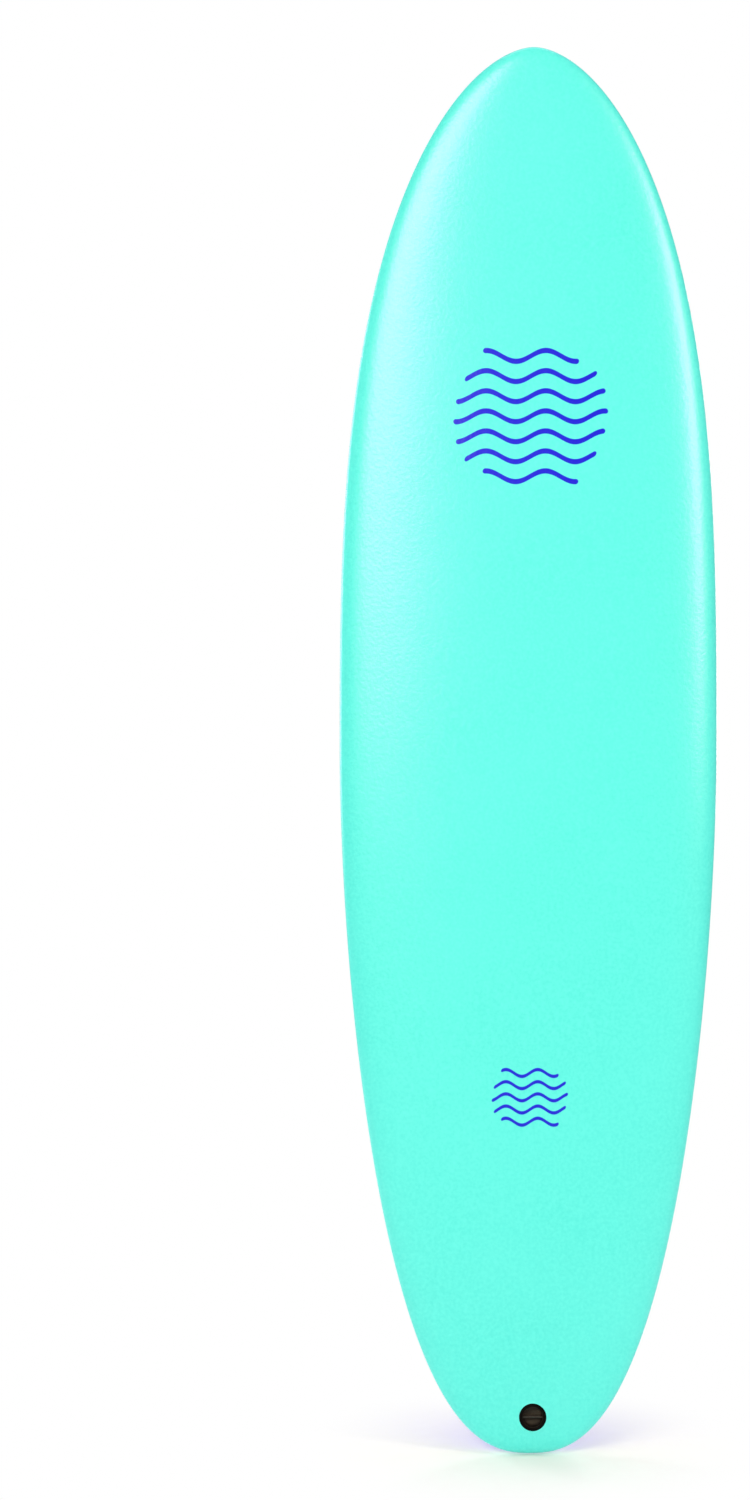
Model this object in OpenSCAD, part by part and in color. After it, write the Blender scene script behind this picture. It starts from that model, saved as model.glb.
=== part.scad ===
// Soft-top surfboard, 6 ft, with three single-slot fin boxes and a through-board leash plug.
// The board stands upright: +Z runs to the nose, the deck faces -Y and the slick bottom faces +Y.
// The origin is the middle of the cross-section at the widest point. Millimetres.

/* [Outline] */
// Length from tail tip to nose tip, straight
board_len = 1829; // [1780:1:1880]
// Greatest width
board_w = 502; // [470:1:530]
// Distance of the widest point from the tail tip
wide_from_tail = 920; // [890:1:950]
// How late the outline turns in towards the nose
nose_full = 2.96; // [2.6:0.01:3.3]
// How round the nose is in plan, lower is blunter
nose_round = 0.557; // [0.5:0.001:0.62]
// How late the outline turns in towards the tail
tail_full = 1.766; // [1.6:0.001:1.95]
// How round the tail is in plan, lower is blunter
tail_round = 0.397; // [0.36:0.001:0.45]

/* [Profile] */
// Thickness at the widest point
thick = 70; // [66:1:76]
// Thickness of the nose just before it rounds off
nose_t = 24; // [22:1:30]
// Thickness of the tail just before it rounds off
tail_t = 32; // [30:1:38]
// Height that the nose curves up towards the deck side
nose_rocker = 115; // [90:1:130]
// Height that the tail curves up towards the deck side
tail_rocker = 50; // [40:1:60]

/* [Rails] */
// Width over which the flat bottom rolls up into the rail
rail_roll = 34; // [28:1:40]
// How flat the deck is across, higher is flatter
crown = 3; // [2.4:0.1:3.6]
// Offset of the rail's outermost line from mid-thickness towards the bottom, part of thickness
apex_drop = 0.08; // [0.04:0.01:0.12]

/* [Layers] */
// Foam deck skin, which wraps the rails
skin_t = 5; // [4:0.1:6]
// Slick polyethylene sheet on the bottom
slick_t = 1.2; // [0.8:0.1:1.6]
// Glass and epoxy laminate round the core
lam_t = 0.8; // [0.6:0.1:1.2]
// Inset of the slick's edge from the outline at the widest point
seam_in = 14.7; // [10:0.1:20]
// Inset of the slick's edge from the nose tip
seam_in_nose = 5.1; // [4:0.1:8]
// Inset of the slick's edge from the tail tip
seam_in_tail = 7.3; // [5:0.1:10]

/* [Stringers] */
// Thickness of each stringer
stringer_t = 4; // [3:0.5:6]
// Distance of the side stringers from the centre line
stringer_x = 75; // [60:1:90]

/* [Fin boxes] */
// Length of a fin box's flange
box_l = 130; // [124:1:136]
// Width of a fin box's flange
box_w = 35; // [33:1:38]
// Depth of a fin box
box_depth = 19; // [18:0.5:21]
// Width of the slot that takes a fin's tabs
slot_w = 5.4; // [5:0.1:6]
// Length of the slot
slot_l = 67; // [62:1:72]
// Depth of the slot
slot_depth = 15; // [14:0.5:16]
// Offset of the slot from the flange's middle, towards the tail
slot_shift = 1.5; // [0:0.5:3]
// Distance of the side boxes from the centre line
side_box_x = 133; // [125:1:140]
// Distance of the side boxes' middles from the tail tip
side_box_from_tail = 311; // [290:1:330]
// Distance of the centre box's middle from the tail tip
centre_box_from_tail = 141; // [136:1:148]
// Turn of each side box, nose ends apart
side_box_turn = 1.6; // [0:0.1:3]

/* [Leash plug] */
// Diameter of the plug's two flanges
plug_d = 36; // [33:0.5:38]
// Diameter of the cup that the leash string goes into
cup_d = 26; // [22:0.5:27]
// Distance of the plug's middle from the tail tip
plug_from_tail = 48; // [46:1:52]
// Offset of the plug from the centre line
plug_x = 3; // [0:0.5:6]

/* [Hidden] */

half_w = board_w / 2;
nose_len = board_len - wide_from_tail;
tail_len = wide_from_tail;

// The slick's own outline turns in a little later than the board's.
seam_half = half_w - seam_in;
seam_nose_full = nose_full * 1.047;
seam_nose_round = nose_round * 1.032;
seam_tail_full = tail_full * 1.036;
seam_tail_round = tail_round * 1.02;

foil_power = 2.4;    // how long the board keeps its thickness
tip_power = 80;      // how suddenly nose and tail round off
nose_curve = 2.6;    // power of the nose rocker
tail_curve = 2.2;    // power of the tail rocker

lam_out = skin_t;            // inset of the laminate's outer face
core_in = skin_t + lam_t;    // inset of the core's face

stations = 36;       // lengthwise steps, closer together at the tips
rail_steps = 4;      // steps round the rail from the slick's edge to its outermost line
deck_steps = 12;     // steps across the deck
slick_steps = 10;    // steps across the slick

// Fin box details
flange_t = 1.8;
flange_power = 3.4;  // squareness of the flange's oval
flange_points = 64;
box_body_w = 23;
box_body_l = 112;
box_body_r = 6;
pocket_w = 7;        // wider ends of the slot
pocket_l = 14.5;
pocket_r = 1.5;
bond_w = 0.8;        // line of adhesive round a flange
block_l = 132;
block_w = 56;
block_r = 10;
block_depth = 27;

// Grub screws, M5 x 6 with a 2.5 mm hex socket, backed out until their tips clear the slot
screw_r = 2.45;
screw_bore_r = 2.5;
screw_l = 6;
screw_x = 7.2;
screw_y = 24;
screw_lean = 16;
screw_sunk = 0.8;
screw_bore_l = 13;
hex_flats = 2.5;
hex_depth = 2.5;
screw_chamfer = 0.5;

// Leash plug details
plug_flange_t = 2.4;
cup_depth = 11;
cup_wall = 2.5;
cup_floor = 3;
stem_r = 7;
base_r = 11;
base_gap = 1;
bar_r = 1.6;
bar_depth = 5;
plug_block_r = 24;

// ---------------------------------------------------------------- board surface

// A station u runs from -1 at the tail tip through 0 at the widest point to 1 at the nose tip.
// d is the inset of a layer's face from the outside of the board.

function span(u) = u > 0 ? nose_len : tail_len;
function held(v, low, high) = max(low, min(high, v));
function mix(a, b, f) = a + (b - a) * f;

function outline(u) =
    u > 0 ? pow(1 - pow(u, nose_full), nose_round) : pow(1 - pow(-u, tail_full), tail_round);
function seam_outline(u) = u > 0
    ? pow(1 - pow(u, seam_nose_full), seam_nose_round)
    : pow(1 - pow(-u, seam_tail_full), seam_tail_round);

function rocker(z) = z > 0
    ? nose_rocker * pow(z / nose_len, nose_curve)
    : tail_rocker * pow(-z / tail_len, tail_curve);
function foil(u) =
    let (tip = u > 0 ? nose_t : tail_t) mix(thick, tip, pow(abs(u), foil_power));
function layer_t(u, d) = (foil(u) - 2 * d) * sqrt(1 - pow(abs(u), tip_power));
function layer_z(u, d) = u * (span(u) - d);
function apex_y(u, d) = apex_drop * layer_t(u, d) - rocker(layer_z(u, d));

// Height of a layer's bottom face over any place inside its outline
function bottom_y(x, z, d) =
    let (u = held(z / (span(z) - d), -1, 1))
    let (w = (half_w - d) * outline(u))
    let (roll = rail_roll * w / (w + rail_roll))
    let (t = roll > 0 ? held((abs(x) - w + roll) / roll, 0, 1) : 0)
    apex_y(u, d) + (0.5 - apex_drop) * layer_t(u, d) * sqrt(1 - t * t);

// Slick's edge in plan, on a layer's face
function seam_x(u, d) = seam_half * seam_outline(u) * (half_w - d) / half_w;
function seam_z(u, d) = u * (span(u) - (u > 0 ? seam_in_nose : seam_in_tail) - d);

function deck_point(u, a, d) = [
    cos(a) * (half_w - d) * outline(u),
    apex_y(u, d) - (0.5 + apex_drop) * layer_t(u, d) * sqrt(1 - pow(abs(cos(a)), crown)),
    layer_z(u, d)];
function rail_point(u, v, side, d) =
    let (x = side * mix(seam_x(u, d), (half_w - d) * outline(u), sin(90 * v)))
    let (z = mix(seam_z(u, d), layer_z(u, d), sin(90 * v)))
    [x, bottom_y(x, z, d), z];
function slick_point(u, a, d) =
    let (x = cos(a) * seam_x(u, d))
    [x, bottom_y(x, seam_z(u, d), d), seam_z(u, d)];

// One row of points from the slick's right edge over rail, deck and rail to its left edge
function skin_row(u, d) = concat(
    [for (n = [0:rail_steps - 1]) rail_point(u, n / rail_steps, 1, d)],
    [for (n = [0:deck_steps]) deck_point(u, 180 * n / deck_steps, d)],
    [for (n = [rail_steps - 1:-1:0]) rail_point(u, n / rail_steps, -1, d)]);
function slick_row(u, d) =
    [for (n = [0:slick_steps]) slick_point(u, 180 * n / slick_steps, d)];

function station(n) = n == 0 ? -1 : n == stations ? 1 : sin(180 * n / stations - 90);
function skin_grid(d) = [for (n = [0:stations]) skin_row(station(n), d)];
function slick_grid(d) = [for (n = [0:stations]) slick_row(station(n), d)];

// Face between the outside and the laminate, part f of the way in
function between(outer, inner, f) =
    [for (i = [0:len(outer) - 1]) [for (j = [0:len(outer[i]) - 1]) mix(outer[i][j], inner[i][j], f)]];

// ---------------------------------------------------------------- solids from grids of points

function points_in(patches) = [for (patch = patches) for (row = patch[0]) each row];
function first_point(patches, n) = n == 0 ? 0
    : first_point(patches, n - 1) + len(patches[n - 1][0]) * len(patches[n - 1][0][0]);
function patch_faces(rows, cols, start, turned) = [
    for (i = [0:rows - 2]) for (j = [0:cols - 2])
        let (a = start + i * cols + j, b = a + 1, c = a + cols + 1, d = a + cols)
        each turned ? [[a, c, b], [a, d, c]] : [[a, b, c], [a, c, d]]];

// A closed solid from patches, each one a grid of points and whether its faces are turned over
module patch_solid(patches) {
    faces = [for (n = [0:len(patches) - 1])
        let (grid = patches[n][0])
        each patch_faces(len(grid), len(grid[0]), first_point(patches, n), patches[n][1])];
    polyhedron(points_in(patches), faces, convexity = 6);
}

// A sheet between two grids that have the same rows and columns. Its rims have a row of points
// at each of the given parts of the way in, so that they meet a neighbour's points exactly.
module sheet_solid(outer, inner, turned, parts = [0, 1]) {
    last = len(outer[0]) - 1;
    first_rim = [for (i = [0:len(outer) - 1]) [for (f = parts) mix(outer[i][0], inner[i][0], f)]];
    last_rim = [for (i = [0:len(outer) - 1]) [for (f = parts) mix(outer[i][last], inner[i][last], f)]];
    patch_solid([[outer, turned], [inner, !turned], [first_rim, !turned], [last_rim, turned]]);
}

module core_body() patch_solid([[skin_grid(core_in), false], [slick_grid(core_in), true]]);

// ---------------------------------------------------------------- places on the board

function bottom_slope(z) = (bottom_y(0, z + 1, 0) - bottom_y(0, z - 1, 0)) / 2;

// Local +Z points out of the bottom and local +Y to the nose
module on_bottom(x, z, turn) {
    translate([x, bottom_y(x, z, 0), z])
        rotate([-90 - atan(bottom_slope(z)), 0, 0])
            rotate([0, 0, 180 + turn])
                children();
}

module at_left_box() on_bottom(-side_box_x, side_box_from_tail - tail_len, -side_box_turn)
    children();
module at_right_box() on_bottom(side_box_x, side_box_from_tail - tail_len, side_box_turn)
    children();
module at_centre_box() on_bottom(0, centre_box_from_tail - tail_len, 0)
    children();

plug_z = plug_from_tail - tail_len;
plug_u = plug_z / tail_len;
plug_h = layer_t(plug_u, 0);
plug_slope = (rocker(plug_z - 1) - rocker(plug_z + 1)) / 2;

// Local +Z points out of the deck, and the origin is halfway through the board
module at_plug() {
    translate([plug_x, -rocker(plug_z), plug_z])
        rotate([90 - atan(plug_slope), 0, 0])
            children();
}

// ---------------------------------------------------------------- fin boxes

module rounded_rect(w, l, r) {
    square([w - 2 * r, l], center = true);
    square([w, l - 2 * r], center = true);
    for (x = [-1, 1], y = [-1, 1])
        translate([x * (w / 2 - r), y * (l / 2 - r)]) circle(r, $fn = 48);
}

function signed_pow(v, p) = sign(v) * pow(abs(v), p);
module flange_shape(grow) {
    polygon([for (n = [0:flange_points - 1])
        let (a = 360 * n / flange_points)
        [(box_w / 2 + grow) * signed_pow(cos(a), 2 / flange_power),
         (box_l / 2 + grow) * signed_pow(sin(a), 2 / flange_power)]]);
}

module slot_shape() {
    translate([0, -slot_shift]) {
        rounded_rect(slot_w, slot_l, pocket_r);
        for (side = [-1, 1])
            translate([0, side * (slot_l - pocket_l) / 2])
                rounded_rect(pocket_w, pocket_l, pocket_r);
    }
}

module down(depth, height) translate([0, 0, -depth]) linear_extrude(height) children();

// Local +Z points out of the screw's bore; end is 1 for the nose end and -1 for the tail end
module at_screw(end) {
    translate([end * screw_x, end * screw_y - slot_shift, 0])
        rotate([0, end * screw_lean, 0])
            children();
}

module fin_box() {
    color("#18130f") difference() {
        union() {
            down(flange_t, flange_t) flange_shape(0);
            down(box_depth, box_depth - flange_t)
                rounded_rect(box_body_w, box_body_l, box_body_r);
        }
        down(slot_depth, slot_depth + 1) slot_shape();
        for (end = [-1, 1])
            at_screw(end)
                translate([0, 0, -screw_bore_l])
                    cylinder(h = screw_bore_l + 3, r = screw_bore_r, $fn = 48);
    }
}

// What the board gives up for a fin box and the adhesive round its flange
module fin_box_room() {
    down(flange_t, flange_t + 3) flange_shape(bond_w);
    down(box_depth, box_depth) rounded_rect(box_body_w, box_body_l, box_body_r);
}

module fin_block_shape() down(block_depth, block_depth + 3) rounded_rect(block_w, block_l, block_r);

module fin_bond() {
    down(flange_t, flange_t) difference() {
        flange_shape(bond_w);
        flange_shape(0);
    }
}

module grub_screw(end) {
    color("#8d9094") at_screw(end)
        translate([0, 0, -screw_sunk - screw_l])
            difference() {
                rotate_extrude($fn = 48) polygon([
                    [0, 0], [screw_r - screw_chamfer, 0], [screw_r, screw_chamfer],
                    [screw_r, screw_l - screw_chamfer], [screw_r - screw_chamfer, screw_l],
                    [0, screw_l]]);
                translate([0, 0, screw_l - hex_depth])
                    cylinder(h = hex_depth + 1, r = hex_flats / 2 / cos(30), $fn = 6);
            }
}

// ---------------------------------------------------------------- leash plug

cup_bottom = plug_h / 2 - cup_depth - cup_floor;

module plug_cup_outer() {
    translate([0, 0, plug_h / 2 - plug_flange_t]) cylinder(h = plug_flange_t, d = plug_d, $fn = 96);
    translate([0, 0, cup_bottom])
        cylinder(h = plug_h / 2 - cup_bottom, r = cup_d / 2 + cup_wall, $fn = 96);
    translate([0, 0, plug_flange_t - plug_h / 2])
        cylinder(h = plug_h / 2 - plug_flange_t + cup_bottom + cup_floor / 2, r = stem_r, $fn = 96);
}

// gap is the room left under the cup, so that the two halves can be drawn tight
module plug_base_outer(gap) {
    translate([0, 0, -plug_h / 2]) cylinder(h = plug_flange_t, d = plug_d, $fn = 96);
    translate([0, 0, -plug_h / 2])
        cylinder(h = plug_h / 2 + cup_bottom - gap, r = base_r, $fn = 96);
}

module bar_pin() {
    translate([0, 0, plug_h / 2 - bar_depth])
        rotate([0, 90, 0])
            cylinder(h = cup_d + 2 * cup_wall - 1, r = bar_r, center = true, $fn = 48);
}

// What the board gives up for the plug and the adhesive round its bottom flange
module plug_room() {
    translate([0, 0, plug_h / 2 - plug_flange_t]) cylinder(h = plug_flange_t + 3, d = plug_d, $fn = 96);
    plug_cup_outer();
    translate([0, 0, -plug_h / 2 - 3])
        cylinder(h = plug_flange_t + 3, d = plug_d + 2 * bond_w, $fn = 96);
    plug_base_outer(0);
}

module plug_block_shape() cylinder(h = plug_h + 20, r = plug_block_r, center = true, $fn = 96);

module plug_bond() {
    translate([0, 0, -plug_h / 2]) difference() {
        cylinder(h = plug_flange_t, d = plug_d + 2 * bond_w, $fn = 96);
        translate([0, 0, -1]) cylinder(h = plug_flange_t + 2, d = plug_d, $fn = 96);
    }
}

// ---------------------------------------------------------------- inside the board

// Centre stringer stops ahead of the centre fin box; the side ones follow the curve of the nose
centre_stringer = [centre_box_from_tail - tail_len + block_l / 2 + 15, nose_len - 40];
side_stringer = [90 - tail_len, nose_len - 80];

module stringer_slab(x, ends) {
    translate([x - stringer_t / 2, -200, ends[0]]) cube([stringer_t, 400, ends[1] - ends[0]]);
}

module stringer(x, ends) {
    color("#c99b62") intersection() {
        core_body();
        stringer_slab(x, ends);
    }
}

module stringer_centre() stringer(0, centre_stringer);
module stringer_left() stringer(-stringer_x, side_stringer);
module stringer_right() stringer(stringer_x, side_stringer);

module foam_core() {
    color("#f4f4f0") difference() {
        core_body();
        stringer_slab(0, centre_stringer);
        stringer_slab(-stringer_x, side_stringer);
        stringer_slab(stringer_x, side_stringer);
        at_left_box() fin_block_shape();
        at_right_box() fin_block_shape();
        at_centre_box() fin_block_shape();
        at_plug() plug_block_shape();
    }
}

// Dense foam let into the core: the first child is the block and the second is its fitting's room
module dense_foam() {
    color("#b9c7a6") difference() {
        intersection() {
            core_body();
            children(0);
        }
        children(1);
    }
}

module fin_block_left() dense_foam() {
    at_left_box() fin_block_shape();
    at_left_box() fin_box_room();
}
module fin_block_right() dense_foam() {
    at_right_box() fin_block_shape();
    at_right_box() fin_box_room();
}
module fin_block_centre() dense_foam() {
    at_centre_box() fin_block_shape();
    at_centre_box() fin_box_room();
}
module plug_block() dense_foam() {
    at_plug() plug_block_shape();
    at_plug() plug_room();
}

module bottom_fittings() {
    at_left_box() fin_box_room();
    at_right_box() fin_box_room();
    at_centre_box() fin_box_room();
    at_plug() plug_room();
}

// ---------------------------------------------------------------- skins

slick_part = slick_t / skin_t;

module deck_laminate() {
    color("#d9d2b8") difference() {
        sheet_solid(skin_grid(lam_out), skin_grid(core_in), false);
        at_plug() plug_room();
    }
}

module bottom_laminate() {
    color("#d9d2b8") difference() {
        sheet_solid(slick_grid(lam_out), slick_grid(core_in), true);
        bottom_fittings();
    }
}

module deck_skin() {
    color("#74fbec") difference() {
        sheet_solid(skin_grid(0), skin_grid(lam_out), false, [0, slick_part, 1]);
        at_plug() plug_room();
    }
}

module bottom_backing() {
    outer = slick_grid(0);
    inner = slick_grid(lam_out);
    color("#e8f2f0") difference() {
        sheet_solid(between(outer, inner, slick_part), inner, true);
        bottom_fittings();
    }
}

module bottom_slick() {
    outer = slick_grid(0);
    inner = slick_grid(lam_out);
    color("#1601fe") difference() {
        sheet_solid(outer, between(outer, inner, slick_part), true);
        bottom_fittings();
    }
}

// ---------------------------------------------------------------- fittings

module fin_box_left() at_left_box() fin_box();
module fin_box_right() at_right_box() fin_box();
module fin_box_centre() at_centre_box() fin_box();

module bond_rings() {
    color("#2f8f9c") {
        at_left_box() fin_bond();
        at_right_box() fin_bond();
        at_centre_box() fin_bond();
        at_plug() plug_bond();
    }
}

module plug_cup() {
    color("#1f1b19") at_plug() difference() {
        plug_cup_outer();
        translate([0, 0, plug_h / 2 - cup_depth]) cylinder(h = cup_depth + 1, d = cup_d, $fn = 96);
        bar_pin();
    }
}

module plug_bar() color("#a8acb0") at_plug() bar_pin();

module plug_base() {
    color("#18130f") at_plug() difference() {
        plug_base_outer(base_gap);
        translate([0, 0, plug_flange_t - plug_h / 2]) cylinder(h = plug_h, r = stem_r, $fn = 96);
    }
}

foam_core();
stringer_centre();
stringer_left();
stringer_right();
fin_block_left();
fin_block_right();
fin_block_centre();
plug_block();
deck_laminate();
bottom_laminate();
deck_skin();
bottom_backing();
bottom_slick();
fin_box_left();
fin_box_right();
fin_box_centre();
bond_rings();
at_left_box() grub_screw(1);  // grub_screw_left_nose
at_left_box() grub_screw(-1);  // grub_screw_left_tail
at_right_box() grub_screw(1);  // grub_screw_right_nose
at_right_box() grub_screw(-1);  // grub_screw_right_tail
at_centre_box() grub_screw(1);  // grub_screw_centre_nose
at_centre_box() grub_screw(-1);  // grub_screw_centre_tail
plug_cup();
plug_bar();
plug_base();
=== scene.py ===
import math
from functools import partial

import bmesh
import bpy
from mathutils import Matrix, Vector


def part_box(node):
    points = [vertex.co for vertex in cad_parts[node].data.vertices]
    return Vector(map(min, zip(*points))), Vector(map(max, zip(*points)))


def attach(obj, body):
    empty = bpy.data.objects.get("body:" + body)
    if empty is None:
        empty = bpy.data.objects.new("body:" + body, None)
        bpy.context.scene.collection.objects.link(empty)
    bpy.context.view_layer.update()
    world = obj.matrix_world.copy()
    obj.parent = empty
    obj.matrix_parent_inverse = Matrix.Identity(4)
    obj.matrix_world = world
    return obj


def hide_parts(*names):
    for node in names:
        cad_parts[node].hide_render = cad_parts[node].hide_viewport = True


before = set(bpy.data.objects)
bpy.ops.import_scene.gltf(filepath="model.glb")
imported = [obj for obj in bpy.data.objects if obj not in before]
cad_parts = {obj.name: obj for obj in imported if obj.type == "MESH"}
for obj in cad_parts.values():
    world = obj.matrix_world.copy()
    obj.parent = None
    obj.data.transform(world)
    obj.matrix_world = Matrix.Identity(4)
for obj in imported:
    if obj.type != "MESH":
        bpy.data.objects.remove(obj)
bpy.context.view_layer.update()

# Soft-top surfboard, upright: +Z to the nose, the deck faces -Y and the slick bottom +Y. Metres.

MM = 0.001
BOARD_LOW, BOARD_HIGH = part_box("deck_skin")

# ------------------------------------------------------------------ the board's shape

HALF_W = (BOARD_HIGH.x - BOARD_LOW.x) / 2
NOSE_LEN = BOARD_HIGH.z
TAIL_LEN = -BOARD_LOW.z

# Outline: a power for how late it turns in, and one for how round the end is
NOSE_OUTLINE = (2.96, 0.557)
TAIL_OUTLINE = (1.766, 0.397)
SEAM_NOSE_OUTLINE = (NOSE_OUTLINE[0] * 1.047, NOSE_OUTLINE[1] * 1.032)
SEAM_TAIL_OUTLINE = (TAIL_OUTLINE[0] * 1.036, TAIL_OUTLINE[1] * 1.02)
SEAM_HALF = HALF_W - 14.7 * MM  # the seam is the slick's edge
SEAM_IN_NOSE = 5.1 * MM
SEAM_IN_TAIL = 7.3 * MM

THICK = 70 * MM
NOSE_T = 24 * MM
TAIL_T = 32 * MM
FOIL_POWER = 2.4
TIP_POWER = 80  # how abruptly the thickness closes at the tips
NOSE_ROCKER = 115 * MM
TAIL_ROCKER = 50 * MM
NOSE_CURVE = 2.6
TAIL_CURVE = 2.2
RAIL_ROLL = 34 * MM
CROWN = 3         # power of the deck's section: higher is flatter in the middle
APEX_DROP = 0.08  # how far the rail's outermost line lies below mid-thickness, as a part of it

SKIN_T = 5 * MM
SLICK_T = 1.2 * MM


# u is -1 at the tail tip, 0 at the widest point and 1 at the nose tip.
# inset is how deep under the surface a layer's own surface lies.

def span(u):
    return NOSE_LEN if u > 0 else TAIL_LEN


def plan_width(u, nose, tail):
    full, blunt = nose if u > 0 else tail
    return max(0.0, 1 - abs(u) ** full) ** blunt


def outline(u):
    return plan_width(u, NOSE_OUTLINE, TAIL_OUTLINE)


def seam_outline(u):
    return plan_width(u, SEAM_NOSE_OUTLINE, SEAM_TAIL_OUTLINE)


def rocker(z):
    if z > 0:
        return NOSE_ROCKER * (z / NOSE_LEN) ** NOSE_CURVE
    return TAIL_ROCKER * (-z / TAIL_LEN) ** TAIL_CURVE


def layer_thickness(u, inset):
    tip = NOSE_T if u > 0 else TAIL_T
    foil = THICK + (tip - THICK) * abs(u) ** FOIL_POWER
    return (foil - 2 * inset) * math.sqrt(max(0.0, 1 - abs(u) ** TIP_POWER))


def layer_z(u, inset):
    return u * (span(u) - inset)


def apex_y(u, inset):
    return APEX_DROP * layer_thickness(u, inset) - rocker(layer_z(u, inset))


def bottom_y(x, z, inset=0.0):
    """Height of a layer's bottom face at any place inside its outline."""
    u = max(-1.0, min(1.0, z / (span(z) - inset)))
    width = (HALF_W - inset) * outline(u)
    roll = RAIL_ROLL * width / (width + RAIL_ROLL)
    turn = max(0.0, min(1.0, (abs(x) - width + roll) / roll)) if roll > 0 else 0.0
    rise = (0.5 - APEX_DROP) * layer_thickness(u, inset) * math.sqrt(1 - turn * turn)
    return apex_y(u, inset) + rise


def deck_point(u, angle, inset=0.0):
    across = math.cos(angle)
    rise = (0.5 + APEX_DROP) * layer_thickness(u, inset) * math.sqrt(max(0.0, 1 - abs(across) ** CROWN))
    return Vector((across * (HALF_W - inset) * outline(u), apex_y(u, inset) - rise, layer_z(u, inset)))


def seam_plan(u, inset=0.0, back=0.0):
    """The slick's edge in plan, drawn in by back towards the middle of the board."""
    tip_in = SEAM_IN_NOSE if u > 0 else SEAM_IN_TAIL
    x = (SEAM_HALF - back) * seam_outline(u) * (HALF_W - inset) / HALF_W
    return x, u * (span(u) - tip_in - inset - back)


def rail_point(u, share, side, inset=0.0, away=0.0):
    """share is 0 at the slick's edge and 1 on the rail's outermost line; away keeps off the edge."""
    seam_x, seam_z = seam_plan(u, inset)
    rail_x, rail_z = (HALF_W - inset) * outline(u), layer_z(u, inset)
    start = away / math.hypot(rail_x - seam_x, rail_z - seam_z)
    part = start + (1 - start) * share
    x = side * (seam_x + (rail_x - seam_x) * part)
    z = seam_z + (rail_z - seam_z) * part
    return Vector((x, bottom_y(x, z, inset), z))


def slick_point(u, across, inset=0.0, back=0.0):
    x, z = seam_plan(u, 0.0, back)
    return Vector((across * x, bottom_y(across * x, z, inset), z))


# ------------------------------------------------------------------ making meshes

def grid_mesh(columns, rows, place):
    """A sheet of columns by rows faces, each point put where place says, with its doubles merged."""
    bm = bmesh.new()
    bmesh.ops.create_grid(bm, x_segments=columns, y_segments=rows, size=1.0)
    for vert in bm.verts:
        column = round((vert.co.x + 1) / 2 * columns)
        row = round((vert.co.y + 1) / 2 * rows)
        vert.co = place(column, row)
    bmesh.ops.remove_doubles(bm, verts=bm.verts, dist=1e-6)
    return bm


def close_up(bm):
    """Fills what is still open and turns every face outwards."""
    open_edges = [edge for edge in bm.edges if edge.is_boundary]
    if open_edges:
        bmesh.ops.holes_fill(bm, edges=open_edges, sides=0)
    bmesh.ops.recalc_face_normals(bm, faces=bm.faces)


def to_object(bm, name, matrix=None, sharp_over=35):
    if matrix is not None:
        bmesh.ops.transform(bm, matrix=matrix, verts=bm.verts)
    mesh = bpy.data.meshes.new(name)
    bm.to_mesh(mesh)
    bm.free()
    made = bpy.data.objects.new(name, mesh)
    bpy.context.collection.objects.link(made)
    for face in mesh.polygons:
        face.use_smooth = True
    mesh.set_sharp_from_angle(angle=math.radians(sharp_over))
    return made


def apply_modifiers(made):
    """Leaves the object with the mesh that its modifiers give it."""
    graph = bpy.context.evaluated_depsgraph_get()
    finished = bpy.data.meshes.new_from_object(made.evaluated_get(graph))
    made.modifiers.clear()
    made.data = finished


def cut(made, cutters, sharp_over):
    """Takes each cutter's shape out of the object."""
    for cutter in cutters:
        change = made.modifiers.new("cut", "BOOLEAN")
        change.operation = "DIFFERENCE"
        change.solver = "EXACT"
        change.object = cutter
    apply_modifiers(made)
    made.data.set_sharp_from_angle(angle=math.radians(sharp_over))
    for cutter in cutters:
        bpy.data.objects.remove(cutter)


def lathe(name, profile, matrix=None, steps=96):
    """A profile of (radius, height) points turned round local Z."""
    bm = bmesh.new()
    points = [bm.verts.new((radius, 0, height)) for radius, height in profile]
    edges = [bm.edges.new(pair) for pair in zip(points, points[1:])]
    bmesh.ops.spin(bm, geom=points + edges, cent=(0, 0, 0), axis=(0, 0, 1), dvec=(0, 0, 0),
                   angle=math.tau, steps=steps, use_merge=True, use_duplicate=False)
    bmesh.ops.remove_doubles(bm, verts=bm.verts, dist=1e-6)
    close_up(bm)
    return to_object(bm, name, matrix)


def rounded(radius, outer, top, steps=4):
    """Profile points round a top outer corner, from its side to its top."""
    angles = [math.pi / 2 * n / steps for n in range(steps + 1)]
    return [(outer - radius + radius * math.cos(a), top - radius + radius * math.sin(a)) for a in angles]


# ------------------------------------------------------------------ places on the board

def bottom_slope(z):
    return (bottom_y(0, z + MM) - bottom_y(0, z - MM)) / (2 * MM)


def on_bottom(x, z, turn):
    """Local +Z points out of the bottom and local +Y to the nose."""
    tilt = Matrix.Rotation(-math.pi / 2 - math.atan(bottom_slope(z)), 4, "X")
    spin = Matrix.Rotation(math.pi + math.radians(turn), 4, "Z")
    return Matrix.Translation((x, bottom_y(x, z), z)) @ tilt @ spin


SIDE_BOX_X = 133 * MM
SIDE_BOX_Z = 311 * MM - TAIL_LEN
CENTRE_BOX_Z = 141 * MM - TAIL_LEN
SIDE_BOX_TURN = 1.6
BOX_PLACES = {
    "left": on_bottom(-SIDE_BOX_X, SIDE_BOX_Z, -SIDE_BOX_TURN),
    "right": on_bottom(SIDE_BOX_X, SIDE_BOX_Z, SIDE_BOX_TURN),
    "centre": on_bottom(0, CENTRE_BOX_Z, 0),
}

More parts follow.
